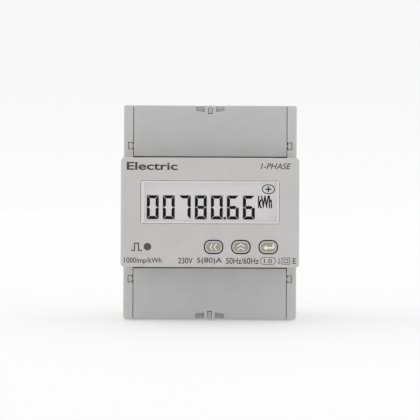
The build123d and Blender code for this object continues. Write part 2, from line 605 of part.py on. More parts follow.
def ic_packages():
    """Metering chip, processor, transceiver and two optocouplers, all on the board's front."""
    chips = []
    sizes = ((-2.5, 51.0, 10.0, 10.0, 1.5), (-13.0, 60.0, 8.0, 6.0, 1.6), (3.0, 21.5, 6.0, 5.0, 1.6))
    sizes += ((-6.0, 21.5, 4.6, 6.4, 2.6), (8.4, 21.5, 2.6, 4.6, 1.2))
    for x, z, wide, high, thick in sizes:
        span_x = (x - wide / 2, x + wide / 2)
        span_z = (z - high / 2, z + high / 2)
        chip = block(span_x, (MAIN_BOARD_Y - thick, MAIN_BOARD_Y), span_z)
        chips.append(chamfer(front_edges(chip), 0.2))
    return Compound(children=chips)


# ---- display, buttons and lamp ----
def lcd_holder():
    z = (37.4, 60.2)
    holder = tile((-30.2, 30.2), (FACE_BACK_Y + 0.1, -24.0), z, 1.0)
    holder -= block((-29.2, 29.2), (FACE_BACK_Y + 0.7, -23.0), (z[0] + 1.0, z[1] - 1.0))
    return holder - block((-28.0, 28.4), (FACE_BACK_Y - 1, -23.0), (39.2, 58.4))


def lcd_glass():
    y = (FACE_BACK_Y + 0.8, FACE_BACK_Y + 3.4)
    return block((-29.0, 29.0), y, (38.6, 59.0))


def backlight_guide():
    return block((-29.0, 29.0), (FACE_BACK_Y + 3.5, -24.1), (38.6, 59.0))


def display_board():
    y = (DISPLAY_BOARD_Y, DISPLAY_BOARD_Y + BOARD_THICK)
    board = tile((-33.5, 33.5), y, (25.4, 64.6), 1.0)
    for x, z in corners(*BOARD_POST):
        board -= rod_y(1.2, x, (y[0] - 1, y[1] + 1), z)
    return board


def display_screws():
    screws = []
    y = DISPLAY_BOARD_Y + BOARD_THICK
    for x, z in corners(*BOARD_POST):
        head = rod_y(1.7, x, (y, y + 1.2), z)
        head -= block((x - 2, x + 2), (y + 0.6, y + 2), (z - 0.25, z + 0.25))
        screws.append(head + rod_y(0.9, x, (y - 6.0, y + 0.2), z))
    return Compound(children=screws)


def tact_switches():
    bodies = []
    for x in BUTTON_X.values():
        body = block((x - 3, x + 3), (DISPLAY_BOARD_Y - 3.4, DISPLAY_BOARD_Y), (CONTROL_Z - 3, CONTROL_Z + 3))
        body -= rod_y(1.78, x, (DISPLAY_BOARD_Y - 5, DISPLAY_BOARD_Y - 1.6), CONTROL_Z)
        bodies.append(body)
    return Compound(children=bodies)


def switch_plunger(x):
    y = (DISPLAY_BOARD_Y - 5.0, DISPLAY_BOARD_Y - 2.8)
    return rod_y(1.7, x, y, CONTROL_Z)


def button(x):
    """A cap with a dished face and a softened rim, a flange behind the face, and a stem."""
    width, height, radius = BUTTON_HOLE
    half_w = width / 2 - BUTTON_GAP
    half_h = height / 2 - BUTTON_GAP
    span_x = (x - half_w, x + half_w)
    span_z = (CONTROL_Z - half_h, CONTROL_Z + half_h)
    cap = tile(span_x, (BUTTON_FRONT_Y, FACE_BACK_Y + 0.2), span_z, radius - BUTTON_GAP)
    cap = fillet(front_edges(cap), 0.4)
    inset = 0.55
    dish_x = (span_x[0] + inset, span_x[1] - inset)
    dish_z = (span_z[0] + inset, span_z[1] - inset)
    cap -= tile(dish_x, (BUTTON_FRONT_Y - 1, BUTTON_FRONT_Y + 0.18), dish_z, radius - BUTTON_GAP - inset)
    flange_x = (x - width / 2 - 0.6, x + width / 2 + 0.6)
    flange_z = (CONTROL_Z - height / 2 - 0.6, CONTROL_Z + height / 2 + 0.6)
    cap += tile(flange_x, (FACE_BACK_Y + 0.1, FACE_BACK_Y + 0.9), flange_z, radius)
    return cap + rod_y(1.5, x, (FACE_BACK_Y + 0.5, DISPLAY_BOARD_Y - 5.0), CONTROL_Z)


def light_pipe():
    pipe = rod_y(1.4, LAMP_X, (FACE_Y - 0.05, DISPLAY_BOARD_Y - 2.1), CONTROL_Z)
    pipe = fillet(front_edges(pipe), 0.3)
    return pipe + rod_y(2.2, LAMP_X, (FACE_BACK_Y + 0.1, FACE_BACK_Y + 1.1), CONTROL_Z)


def pulse_led():
    y = (DISPLAY_BOARD_Y - 1.9, DISPLAY_BOARD_Y)
    led = block((LAMP_X - 1.75, LAMP_X + 1.75), y, (CONTROL_Z - 1.4, CONTROL_Z + 1.4))
    return led - rod_y(1.1, LAMP_X, (y[0] - 1, y[0] + 0.5), CONTROL_Z)


def display_ribbon():
    """A flat cable between the two boards, with one slack bend."""
    points = [(-17.0, 61.0), (-12.5, 61.0), (-9.0, 57.5), (5.0, 57.5), (8.5, 61.0), (12.6, 61.0)]
    path = Plane.YZ * FilletPolyline(*points, radius=2.0)
    start = Plane(origin=(0, points[0][0], points[0][1]), z_dir=(0, 1, 0), x_dir=(1, 0, 0))
    return sweep(start * Rectangle(12.0, 0.6), path=path)


def ribbon_sockets():
    front_y = DISPLAY_BOARD_Y + BOARD_THICK
    sockets = []
    for y in ((front_y, -17.0), (12.6, MAIN_BOARD_Y)):
        sockets.append(block((-7.5, 7.5), y, (58.8, 63.2)))
    return Compound(children=sockets)


# ---- rail clip, spring and case screws ----
def din_clip():
    nose_y = CLIP_FRONT_Y
    outline = [(nose_y, 0.4), (nose_y, CLIP_TOP_Z), (nose_y + 0.8, CLIP_TOP_Z)]
    outline += [(CLIP_BACK_Y, CLIP_TOP_Z - 2.6), (CLIP_BACK_Y, 0.4)]
    clip = profile_x(outline, (-CLIP_HALF_W, CLIP_HALF_W))
    flange_y = (nose_y, nose_y + 1.3)
    clip += block((-CLIP_FLANGE_HALF_W, CLIP_FLANGE_HALF_W), flange_y, (0.4, 26.5))
    clip -= block((-3.0, 3.0), (nose_y - 1, BACK_Y + 1), (4.8, SPRING_HIGH_Z))
    # slot for the tip of a screwdriver, and grip ribs beside the spring
    clip -= block((-3.2, 3.2), (CLIP_BACK_Y - 1.6, BACK_Y + 1), (1.6, 3.4))
    for z in (10.0, 12.5, 15.0, 17.5):
        for x in both((4.2, 7.0)):
            clip -= block(x, (CLIP_BACK_Y - 0.6, BACK_Y + 1), (z - 0.5, z + 0.5))
    return clip


def clip_spring():
    tall = SPRING_HIGH_Z - SPRING_LOW_Z - 2 * SPRING_WIRE_R - 0.1
    start_z = SPRING_LOW_Z + SPRING_WIRE_R + 0.05
    axis_y = (CLIP_FRONT_Y + CLIP_BACK_Y) / 2
    helix = Helix(pitch=tall / SPRING_TURNS, height=tall, radius=SPRING_COIL_R, center=(0, axis_y, start_z))
    section = Plane(origin=helix @ 0, z_dir=helix % 0) * Circle(SPRING_WIRE_R)
    return sweep(section, path=helix, is_frenet=True)


def case_screws():
    """Four long screws from the back, each with a slotted head that faces the wall."""
    screws = []
    for x, z in corners(CASE_SCREW_X, CASE_SCREW_Z):
        head = rod_y(2.7, x, (CASE_HEAD_Y, CASE_HEAD_Y + 2), z)
        head = fillet(back_edges(head), 0.5)
        depth = (CASE_HEAD_Y + 1.0, BACK_Y)
        head -= block((x - 1.9, x + 1.9), depth, (z - 0.4, z + 0.4))
        head -= block((x - 0.4, x + 0.4), depth, (z - 1.9, z + 1.9))
        screws.append(head + rod_y(1.45, x, (-4.0, CASE_HEAD_Y + 0.1), z))
    return Compound(children=screws)


def all_parts():
    parts = {
        "front_case": front_case(),
        "rear_case": rear_case(),
        "display_lens": display_lens(),
        "top_terminal_cover": terminal_cover(),
        "bottom_terminal_cover": flipped(terminal_cover()),
        "top_terminal_block": top_terminal_block(),
        "bottom_terminal_block": bottom_terminal_block(),
        "aux_terminal_block": aux_terminal_block(),
        "aux_contact_pins": aux_pins(),
        "line_busbar": busbar(-MAIN_X),
        "neutral_busbar": busbar(MAIN_X),
        "current_transformer": current_transformer(),
        "current_transformer_leads": ct_leads(),
        "voltage_tap_posts": voltage_taps(),
        "main_board": main_board(),
        "main_board_screws": board_screws(),
        "supply_transformer_core": transformer_core(),
        "supply_transformer_coil": transformer_coil(),
        "filter_capacitors": filter_capacitors(),
        "backup_battery": backup_battery(),
        "surge_varistor": varistor(),
        "ic_packages": ic_packages(),
        "lcd_holder": lcd_holder(),
        "lcd_glass": lcd_glass(),
        "backlight_guide": backlight_guide(),
        "display_board": display_board(),
        "display_board_screws": display_screws(),
        "tact_switches": tact_switches(),
        "light_pipe": light_pipe(),
        "pulse_led": pulse_led(),
        "display_ribbon": display_ribbon(),
        "ribbon_sockets": ribbon_sockets(),
        "din_clip": din_clip(),
        "clip_spring": clip_spring(),
        "case_screws": case_screws(),
    }
    for side, pole in ((-1, "line"), (1, "neutral")):
        parts[f"{pole}_in_screw"] = main_screw(side * MAIN_X)
        parts[f"{pole}_in_cage"] = main_cage(side * MAIN_X)
        parts[f"{pole}_out_screw"] = flipped(main_screw(side * MAIN_X))
        parts[f"{pole}_out_cage"] = flipped(main_cage(side * MAIN_X))
    for name, x in zip(POLE_NAMES, POLE_X):
        parts[f"{name}_screw"] = aux_screw(x)
        parts[f"{name}_cage"] = aux_cage(x)
    for name, x in BUTTON_X.items():
        parts[f"{name}_button"] = button(x)
        parts[f"{name}_plunger"] = switch_plunger(x)
    return parts


os.makedirs("parts", exist_ok=True)
for node, shape in all_parts().items():
    export_step(shape, f"parts/{node}.step")
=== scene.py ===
import json
import math

import bmesh
import bpy
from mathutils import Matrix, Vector


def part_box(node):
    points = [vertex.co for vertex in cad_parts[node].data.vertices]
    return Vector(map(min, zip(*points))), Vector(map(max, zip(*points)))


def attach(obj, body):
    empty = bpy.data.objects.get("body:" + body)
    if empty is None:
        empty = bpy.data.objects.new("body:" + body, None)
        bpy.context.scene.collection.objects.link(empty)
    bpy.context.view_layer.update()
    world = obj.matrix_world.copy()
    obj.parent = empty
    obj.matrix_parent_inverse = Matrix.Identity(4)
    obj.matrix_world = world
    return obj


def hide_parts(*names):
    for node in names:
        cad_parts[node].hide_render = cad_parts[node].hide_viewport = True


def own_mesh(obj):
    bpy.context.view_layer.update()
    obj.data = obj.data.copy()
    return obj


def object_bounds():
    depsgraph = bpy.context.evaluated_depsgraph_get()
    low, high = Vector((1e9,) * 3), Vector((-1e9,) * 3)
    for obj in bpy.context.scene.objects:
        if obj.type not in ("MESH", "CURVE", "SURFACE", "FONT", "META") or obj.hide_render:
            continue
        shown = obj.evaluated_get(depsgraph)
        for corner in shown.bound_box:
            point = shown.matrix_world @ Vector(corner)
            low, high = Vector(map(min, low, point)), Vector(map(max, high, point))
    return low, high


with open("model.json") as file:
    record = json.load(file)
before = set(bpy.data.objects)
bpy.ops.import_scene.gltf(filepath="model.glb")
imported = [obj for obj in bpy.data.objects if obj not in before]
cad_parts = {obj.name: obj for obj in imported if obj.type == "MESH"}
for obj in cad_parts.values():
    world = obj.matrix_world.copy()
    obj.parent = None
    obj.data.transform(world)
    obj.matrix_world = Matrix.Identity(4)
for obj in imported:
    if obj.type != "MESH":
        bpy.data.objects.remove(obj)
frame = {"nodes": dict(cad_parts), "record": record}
cad_box = [list(corner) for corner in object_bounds()]

# Lengths are in metres: X to the right, Z up, Y from the meter's face towards the wall.
MM = 0.001
MID_Z = (cad_box[0][2] + cad_box[1][2]) / 2
FACE_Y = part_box("front_case")[0].y
PRINT_THICK = 0.02 * MM
PRINT_SEAT = 0.005 * MM          # how far a plate sinks into the surface under it

# camera: level, square to the face
CAMERA_DISTANCE = 496 * MM       # from the face to the lens
FRAME_WIDTH = 169.0 * MM         # width of the frame at the face
CAMERA_Z = 46.0 * MM
CAMERA_ROLL = -0.25              # degrees
SENSOR = 36.0                    # mm

# soft studio light: the room is a little darker behind the camera than around the meter
SKY_FRONT = 0.72
SKY_BACK = 0.935
SKY_LOW = 0.042                  # the wall grows a little lighter towards the floor
SKY_LEFT = 0.4                   # how much brighter the room is far to the left and right
SKY_RIGHT = 0.2
OVERHEAD = 0.22
FLOOR_TONE = 0.66                # the floor is a pale sheet that is also lit a little from below
FLOOR_GLOW = 0.3
FLOOR_REACH = 12.0

# liquid-crystal digits
READING = "0078066"
POINT_AFTER = 5
DIGIT_LEFT = -25.6 * MM
DIGIT_PITCH = 6.48 * MM
DIGIT_LOW = 42.2 * MM
DIGIT_WIDTH = 4.85 * MM
DIGIT_HEIGHT = 9.7 * MM
DIGIT_STROKE = 1.3 * MM
SEGMENT_GAP = 0.11 * MM
POINT_SIZE = 1.0 * MM
SEGMENTS_ON = {"0": "abcdef", "7": "abc", "8": "abcdefg", "6": "acdefg"}
UNIT_X = (19.4 * MM, 25.1 * MM)
UNIT_Z = (46.8 * MM, 51.9 * MM)
SIGN_X = 23.6 * MM               # a plus in an ellipse, for imported energy
SIGN_RADII = (2.48 * MM, 1.8 * MM)
SIGN_LINE = 0.36 * MM
PLUS_HALF = (1.25 * MM, 1.15 * MM)                   # half width, half height
PLUS_LINE = 0.54 * MM

# printing on the face and beside the terminals
PRINT_Z = MID_Z + 0.4 * MM       # the middle of the printed face
SIGN_Z = PRINT_Z + 9.1 * MM
TERMINAL_FACE_Y = -11.5 * MM     # front of the terminal blocks, behind the covers
ROW_LOW = 24.4 * MM              # the row of ratings under the buttons
ROW_HIGH = 26.75 * MM
ROW_MID = (ROW_LOW + ROW_HIGH) / 2
THIN_LINE = 0.2 * MM
MARK_LINE = 0.24 * MM
CLASS_MARK = (23.4 * MM, 3.1 * MM, 1.4 * MM)         # middle, half width, half height
BULB_X = 27.9 * MM               # small ring with a stem
BULB_R = 0.4 * MM
SQUARES_X = 30.6 * MM            # one square inside another
SQUARES_HALF = ((1.6 * MM, 1.25 * MM), (0.8 * MM, 0.55 * MM))
PULSE_X = (-31.6 * MM, -30.3 * MM, -28.7 * MM, -27.3 * MM)
PULSE_Z = (PRINT_Z - 15.75 * MM, PRINT_Z - 12.9 * MM)
PULSE_LINE = 0.45 * MM
CLEAR_X = (-26.55 * MM, 26.95 * MM)                  # the lens inside its printed border
CLEAR_Z = (41.25 * MM, 57.0 * MM)
BORDER_MARGIN = 0.18 * MM
MAINS_NUMERAL = 2.0 * MM         # heights of the terminal numerals
AUX_NUMERAL = 1.5 * MM
MAINS_NUMERAL_SHIFT = 5.6 * MM   # from a screw's axis towards the middle
MAINS_NUMERAL_Z = 38.2 * MM      # from the meter's middle
AUX_NUMERAL_Z = 14.4 * MM

# button faces: half width, half height and corner radius
KEY_FACE = (2.86 * MM, 1.81 * MM, 1.56 * MM)
# the dark plate that paints the shade in the gap around each cap: half width, half height and corner radius
KEY_GAP_SHADE = (4.2 * MM, 3.15 * MM, 2.6 * MM)
KEY_DISH = 0.18 * MM             # depth of the dish in a cap
KEY_LINE = 0.37 * MM
# the painted-shade plate lies this far behind the face, and is this thick
GAP_SHADE_DEPTH = 2.1 * MM
GAP_SHADE_THICK = 0.05 * MM

# clip spring
SPRING_WIRE_R = 0.22 * MM
SPRING_TURNS = 9.0
SPRING_END_TURNS = 1.2           # closed turns at each end
SPRING_STEPS = 40                # rings of the mesh in a turn
SPRING_SIDES = 10

# most of a noise pattern's values lie between these
NOISE_LOW = 0.3
NOISE_HIGH = 0.7
WAVE_LENGTH = 0.314              # of a wave texture whose scale is 1


def tone(red, green, blue):
    """A colour given as it appears on a screen, turned into linear light."""
    def linear(value):
        return ((value / 255 + 0.055) / 1.055) ** 2.4 if value > 10 else value / 255 / 12.92

    return (linear(red), linear(green), linear(blue), 1.0)


def scaled(color, factor):
    """The same colour, darker or paler."""
    return (*[min(1.0, channel * factor) for channel in color[:3]], 1.0)


# ---- materials ----
class Finish:
    """A Principled material whose patterns are laid out in the object's own metres."""

    def __init__(self, name, roughness, **sockets):
        self.material = bpy.data.materials.new(name)
        self.material.use_nodes = True
        self.nodes = self.material.node_tree.nodes
        self.links = self.material.node_tree.links
        self.shader = self.nodes["Principled BSDF"]
        self.shader.inputs["Roughness"].default_value = roughness
        for socket, value in sockets.items():
            self.shader.inputs[socket.replace("_", " ")].default_value = value
        self.place = self.nodes.new("ShaderNodeTexCoord").outputs["Object"]
        self.normal = None

    def mapped(self, stretch):
        """The object's own place, scaled along each axis."""
        mapping = self.nodes.new("ShaderNodeMapping")
        mapping.inputs["Scale"].default_value = stretch
        self.links.new(self.place, mapping.inputs["Vector"])
        return mapping.outputs["Vector"]

    def noise(self, size, detail=3.0, stretch=None, roughness=0.5):
        """Noise whose lumps are about size metres across."""
        node = self.nodes.new("ShaderNodeTexNoise")
        node.inputs["Scale"].default_value = 1 / size
        node.inputs["Detail"].default_value = detail
        node.inputs["Roughness"].default_value = roughness
        self.links.new(self.mapped(stretch) if stretch else self.place, node.inputs["Vector"])
        return node.outputs["Fac"]

    def cells(self, size, output="Distance"):
        """Cells about size metres across."""
        node = self.nodes.new("ShaderNodeTexVoronoi")
        node.inputs["Scale"].default_value = 1 / size
        self.links.new(self.place, node.inputs["Vector"])
        return node.outputs[output]

    def bands(self, size, direction, distortion=0.0):
        """Soft stripes that repeat every size metres along a direction."""
        node = self.nodes.new("ShaderNodeTexWave")
        node.bands_direction = direction
        node.inputs["Scale"].default_value = WAVE_LENGTH / size
        node.inputs["Distortion"].default_value = distortion
        self.links.new(self.place, node.inputs["Vector"])
        return node.outputs["Fac"]

    def ramp(self, factor, stops):
        """Colours at places along a pattern's value."""
        node = self.nodes.new("ShaderNodeValToRGB")
        ramp = node.color_ramp
        while len(ramp.elements) < len(stops):
            ramp.elements.new(0.5)
        for element, (where, color) in zip(ramp.elements, stops):
            element.position = where
            element.color = color
        self.links.new(factor, node.inputs["Fac"])
        return node.outputs["Color"]

    def paint(self, factor, stops):
        """Base colour that follows a pattern."""
        self.links.new(self.ramp(factor, stops), self.shader.inputs["Base Color"])

    def roughen(self, factor, low, high):
        """Roughness that follows a noise pattern."""
        node = self.nodes.new("ShaderNodeMapRange")
        node.inputs["From Min"].default_value = NOISE_LOW
        node.inputs["From Max"].default_value = NOISE_HIGH
        node.inputs["To Min"].default_value = low
        node.inputs["To Max"].default_value = high
        self.links.new(factor, node.inputs["Value"])
        self.links.new(node.outputs["Result"], self.shader.inputs["Roughness"])

    def bump(self, factor, depth, strength=1.0):
        """Relief from a pattern, on top of any relief that is already there."""
        node = self.nodes.new("ShaderNodeBump")
        node.inputs["Distance"].default_value = depth
        node.inputs["Strength"].default_value = strength
        self.links.new(factor, node.inputs["Height"])
        if self.normal:
            self.links.new(self.normal, node.inputs["Normal"])
        self.normal = node.outputs["Normal"]
        self.links.new(self.normal, self.shader.inputs["Normal"])


def moulded(name, color, roughness=0.5, grain=0.22 * MM, depth=0.012 * MM, mottle=0.025, **sockets):
    """Injection-moulded plastic: eroded mould texture, faint flow mottling, uneven gloss."""
    finish = Finish(name, roughness, **sockets)
    flow = finish.noise(9 * MM, detail=4.0)
    dull, pale = scaled(color, 1 - mottle), scaled(color, 1 + mottle)
    finish.paint(flow, [(NOISE_LOW, dull), (0.5, color), (NOISE_HIGH, pale)])
    finish.roughen(finish.noise(2.5 * MM), roughness - 0.05, roughness + 0.07)
    finish.bump(finish.noise(grain, detail=2.0, roughness=0.65), depth, 0.5)
    finish.bump(finish.noise(14 * MM, detail=1.0), 0.03 * MM, 0.25)
    return finish.material


def plated(name, color, roughness=0.3, grain=0.5 * MM, depth=0.01 * MM, stretch=None):
    """Plated or drawn metal: spangle, fine tooling lines and dull patches."""
    finish = Finish(name, roughness, Metallic=1.0)
    spangle = finish.cells(grain, output="Color")
    patches = finish.noise(2.2 * MM, detail=5.0)
    finish.paint(patches, [(0.3, scaled(color, 0.78)), (0.55, color), (0.75, scaled(color, 1.12))])
    finish.roughen(patches, roughness - 0.08, roughness + 0.14)
    lines = finish.noise(0.12 * MM, detail=2.0, stretch=stretch or (1.0, 0.12, 1.0))
    finish.bump(lines, depth, 0.6)
    finish.bump(spangle, depth * 0.4, 0.3)
    return finish.material


def solder_mask():
    """Green board: tracks and pads under the mask, drawn as a rectilinear pattern."""
    finish = Finish("board_solder_mask", 0.34, Specular_IOR_Level=0.5)
    tracks = finish.bands(2.6 * MM, "X")
    crossing = finish.bands(3.7 * MM, "Z")
    blocks = finish.cells(7 * MM)
    joined = finish.nodes.new("ShaderNodeMath")
    joined.operation = "MAXIMUM"
    finish.links.new(tracks, joined.inputs[0])
    finish.links.new(crossing, joined.inputs[1])
    gated = finish.nodes.new("ShaderNodeMath")
    gated.operation = "MULTIPLY"
    finish.links.new(joined.outputs[0], gated.inputs[0])
    finish.links.new(blocks, gated.inputs[1])
    bare = [(0.2, tone(18, 84, 52)), (0.34, tone(22, 96, 58))]
    copper = [(0.38, tone(40, 128, 78)), (0.6, tone(44, 134, 82))]
    finish.paint(gated.outputs[0], bare + copper)
    finish.bump(gated.outputs[0], 0.05 * MM, 0.4)
    finish.roughen(finish.noise(3 * MM), 0.28, 0.42)
    return finish.material


def clear_lens():
    """Clear acrylic: almost see-through, with a polished face and faint hairlines."""
    finish = Finish("lens_clear", 0.06, Alpha=0.05, Specular_IOR_Level=0.5, IOR=1.49)
    haze = finish.noise(6 * MM, detail=5.0)
    finish.paint(haze, [(NOISE_LOW, tone(70, 72, 72)), (NOISE_HIGH, tone(84, 86, 86))])
    hairs = finish.noise(0.4 * MM, detail=4.0, stretch=(1.0, 1.0, 0.05))
    finish.roughen(hairs, 0.04, 0.12)
    finish.bump(haze, 0.01 * MM, 0.2)
    return finish.material


def display_pane():
    """Reflective liquid-crystal cell: pale grey, with a very fine polariser grain and a painted glow."""
    # the emission is a painted glow that lightens the pane evenly out to its edges, where the window's walls
    # shade it
    finish = Finish("lcd_reflector", 0.42, Specular_IOR_Level=0.35, Emission_Strength=0.42,
                    Emission_Color=(1.0, 0.985, 0.99, 1.0))
    shades = [(NOISE_LOW, tone(150, 148, 149)), (NOISE_HIGH, tone(156, 154, 155))]
    finish.paint(finish.noise(16 * MM), shades)
    finish.bump(finish.noise(0.15 * MM, detail=2.0), 0.004 * MM, 0.4)
    finish.roughen(finish.noise(0.5 * MM), 0.36, 0.5)
    return finish.material


def ink(name, color, roughness=0.5, specular=0.4):
    """Pad-printed ink: slightly uneven cover and a matt surface."""
    finish = Finish(name, roughness, Specular_IOR_Level=specular)
    thin, full = scaled(color, 0.86), scaled(color, 1.12)
    finish.paint(finish.noise(0.35 * MM), [(NOISE_LOW, thin), (NOISE_HIGH, full)])
    finish.roughen(finish.noise(0.6 * MM), roughness - 0.06, roughness + 0.08)
    finish.bump(finish.noise(0.12 * MM), 0.003 * MM, 0.5)
    return finish.material


def laminated():
    """Stacked transformer sheets, seen as fine lines across the core's depth."""
    finish = Finish("core_sheets", 0.42, Metallic=0.85)
    sheets = finish.bands(0.5 * MM, "Y")
    finish.paint(sheets, [(0.1, tone(70, 70, 74)), (0.5, tone(120, 120, 126)), (0.9, tone(104, 104, 110))])
    finish.bump(sheets, 0.04 * MM, 0.6)
    finish.bump(finish.noise(0.3 * MM), 0.01 * MM, 0.4)
    finish.roughen(finish.noise(1.5 * MM), 0.34, 0.52)
    return finish.material


def wound_tape():
    """Amber polyester tape over a winding: overlapped turns, a little translucent."""
    finish = Finish("winding_tape", 0.28, Coat_Weight=0.4)
    turns = finish.bands(2.2 * MM, "Z", distortion=0.6)
    finish.paint(turns, [(0.1, tone(196, 148, 38)), (0.5, tone(222, 178, 62)), (0.9, tone(206, 160, 46))])
    finish.bump(turns, 0.08 * MM, 0.5)
    finish.roughen(finish.noise(1.2 * MM), 0.22, 0.38)
    return finish.material


def sleeved(name, color, stripe):
    """Shrunk film sleeve with a lighter band down one side."""
    finish = Finish(name, 0.3, Coat_Weight=0.3)
    band = finish.bands(4.0 * MM, "X")
    finish.paint(band, [(0.0, color), (0.9, scaled(color, 1.2)), (0.94, stripe), (1.0, stripe)])
    finish.bump(finish.noise(1.0 * MM, stretch=(1.0, 0.2, 1.0)), 0.02 * MM, 0.4)
    finish.roughen(finish.noise(1.6 * MM), 0.24, 0.4)
    return finish.material


def ribbon_jacket():
    """Flat cable: parallel wires under one pale jacket, with painted shade in the grooves between the wires.
    """
    finish = Finish("ribbon_jacket", 0.45)
    wires = finish.bands(1.0 * MM, "X")
    # the low parts of the bands, the grooves, are painted darker: painted shade in the creases
    finish.paint(wires, [(0.1, tone(168, 168, 174)), (0.6, tone(208, 208, 212)), (0.9, tone(214, 214, 218))])
    finish.bump(wires, 0.12 * MM, 0.8)
    finish.roughen(finish.noise(1.0 * MM), 0.4, 0.55)
    return finish.material


looks = {
    "housing": moulded("housing_plastic", tone(199, 197, 196), roughness=0.48),
    "cover": moulded("cover_plastic", tone(193, 193, 193), roughness=0.5, grain=0.26 * MM),
    "lens": clear_lens(),
    "terminal_block": moulded("terminal_plastic", tone(178, 180, 178), roughness=0.55, mottle=0.05),
    "aux_block": moulded("aux_plastic", tone(44, 46, 46), roughness=0.46, mottle=0.08),
    # painted highlight: the cap is paler than its olive face so that the rim round the face reads as lit
    "button_cap": moulded("button_plastic", tone(198, 198, 191), roughness=0.4, grain=0.15 * MM,
                          depth=0.006 * MM),
    "plunger": moulded("plunger_plastic", tone(30, 30, 32), roughness=0.45),
    "smoked_plastic": moulded("smoked_plastic", tone(66, 64, 64), roughness=0.22, depth=0.003 * MM,
                              Coat_Weight=0.5),
    "clip_plastic": moulded("clip_plastic", tone(68, 70, 73), roughness=0.5, mottle=0.06),
    "zinc_steel": plated("zinc_plating", tone(196, 196, 190), 0.32),
    "spring_steel": plated("spring_wire", tone(150, 150, 152), 0.28, stretch=(1.0, 1.0, 0.15)),
    "copper": plated("busbar_copper", tone(196, 122, 84), 0.3, stretch=(1.0, 1.0, 0.05)),
    "tinned_pins": plated("tin_plating", tone(206, 204, 196), 0.34),
    "lamination_steel": laminated(),
    "transformer_shell": moulded("transformer_shell", tone(34, 52, 112), roughness=0.3, Coat_Weight=0.2),
    "winding_tape": wound_tape(),
    "lead_insulation": moulded("lead_insulation", tone(222, 222, 216), roughness=0.36,
                               depth=0.004 * MM),
    "circuit_board": solder_mask(),
    "capacitor_sleeve": sleeved("capacitor_sleeve", tone(28, 32, 52), tone(190, 194, 200)),
    "battery_can": plated("battery_can", tone(206, 206, 206), 0.2, stretch=(1.0, 1.0, 1.0)),
    "varistor_coat": moulded("varistor_coat", tone(36, 74, 156), roughness=0.3, depth=0.02 * MM,
                             Coat_Weight=0.3),
    "chip_epoxy": moulded("chip_epoxy", tone(32, 32, 35), roughness=0.55, grain=0.1 * MM),
    "white_plastic": moulded("white_plastic", tone(226, 226, 222), roughness=0.45),
    "lcd_glass": display_pane(),
    "light_guide": moulded("light_guide", tone(232, 234, 238), roughness=0.25, depth=0.003 * MM),
    "led_package": moulded("led_package", tone(230, 222, 190), roughness=0.3),
    "ribbon": ribbon_jacket(),
    "switch_body": moulded("switch_body", tone(36, 36, 38), roughness=0.42),
}
PRINT_INK = ink("print_ink", tone(66, 64, 64))
LCD_INK = ink("lcd_segment_ink", tone(8, 8, 10), roughness=0.7, specular=0.08)
ICON_INK = ink("icon_ink", tone(240, 240, 226), roughness=0.45)
KEY_INK = ink("key_face_ink", tone(156, 157, 145), roughness=0.42)
# painted shade: dark ink for the plate in the gap around each button cap
GAP_SHADE_INK = ink("key_seal_rubber", tone(40, 40, 40), roughness=0.7, specular=0.2)
LENS_PRINT = ink("lens_border_ink", tone(221, 219, 219), roughness=0.3)

for part in frame["record"]["subparts"]:
    mesh = frame["nodes"][part["node"]].data
    mesh.materials.clear()
    mesh.materials.append(looks[part["material_slot"]])


# ---- flat lettering and symbols ----
def placed(mesh, name, material, body):
    """Adds a finished mesh as a named piece that rides on a CAD body."""
    mesh.materials.clear()
    mesh.materials.append(material)
    piece = bpy.data.objects.new(name, mesh)
    bpy.context.scene.collection.objects.link(piece)
    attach(piece, body)
    return piece


def plates(name, outlines, surface_y, material, body, thick=PRINT_THICK):
    """Thin solid plates from (x, z) outlines, standing on a surface that faces the front."""
    mesh = bpy.data.meshes.new(name)
    shape = bmesh.new()
    for outline in outlines:
        front = [shape.verts.new((x, surface_y - thick, z)) for x, z in outline]
        back = [shape.verts.new((x, surface_y + PRINT_SEAT, z)) for x, z in outline]
        shape.faces.new(front)
        shape.faces.new(list(reversed(back)))
        for i in range(len(outline)):
            j = (i + 1) % len(outline)
            shape.faces.new((front[j], front[i], back[i], back[j]))
    bmesh.ops.recalc_face_normals(shape, faces=shape.faces)
    shape.to_mesh(mesh)
    shape.free()
    return placed(mesh, name, material, body)


def stroke(points, width, closed=False):
    """Quads that follow a line of (x, z) points with mitred corners."""
    path = [Vector(p) for p in points]
    count = len(path)
    sides = []
    for i, point in enumerate(path):
        before = path[i - 1] if i or closed else None
        after = path[(i + 1) % count] if i < count - 1 or closed else None
        into = (point - before).normalized() if before is not None else None
        out = (after - point).normalized() if after is not None else None
        along = (into + out).normalized() if into is not None and out is not None else (into or out)
        across = Vector((-along.y, along.x))
        stretch = 1.0 / max(0.35, abs(along.dot(out if out is not None else into)))
        sides.append((point + across * width / 2 * stretch, point - across * width / 2 * stretch))
    last = count if closed else count - 1
    quads = []
    for i in range(last):
        j = (i + 1) % count
        quads.append([sides[i][0], sides[j][0], sides[j][1], sides[i][1]])
    return quads


def ellipse(x, z, rx, rz, count=48):
    """An ellipse, as an outline of (x, z) points."""
    angles = [2 * math.pi * i / count for i in range(count)]
    return [(x + rx * math.cos(a), z + rz * math.sin(a)) for a in angles]


def oblong(x, z, half_w, half_h, count=12):
    """A rounded outline with semicircular ends."""
    straight = half_w - half_h
    points = []
    for side, start in ((1, -90), (-1, 90)):
        for i in range(count + 1):
            angle = math.radians(start + 180 * i / count)
            points.append((x + side * straight + half_h * math.cos(angle), z + half_h * math.sin(angle)))
    return points


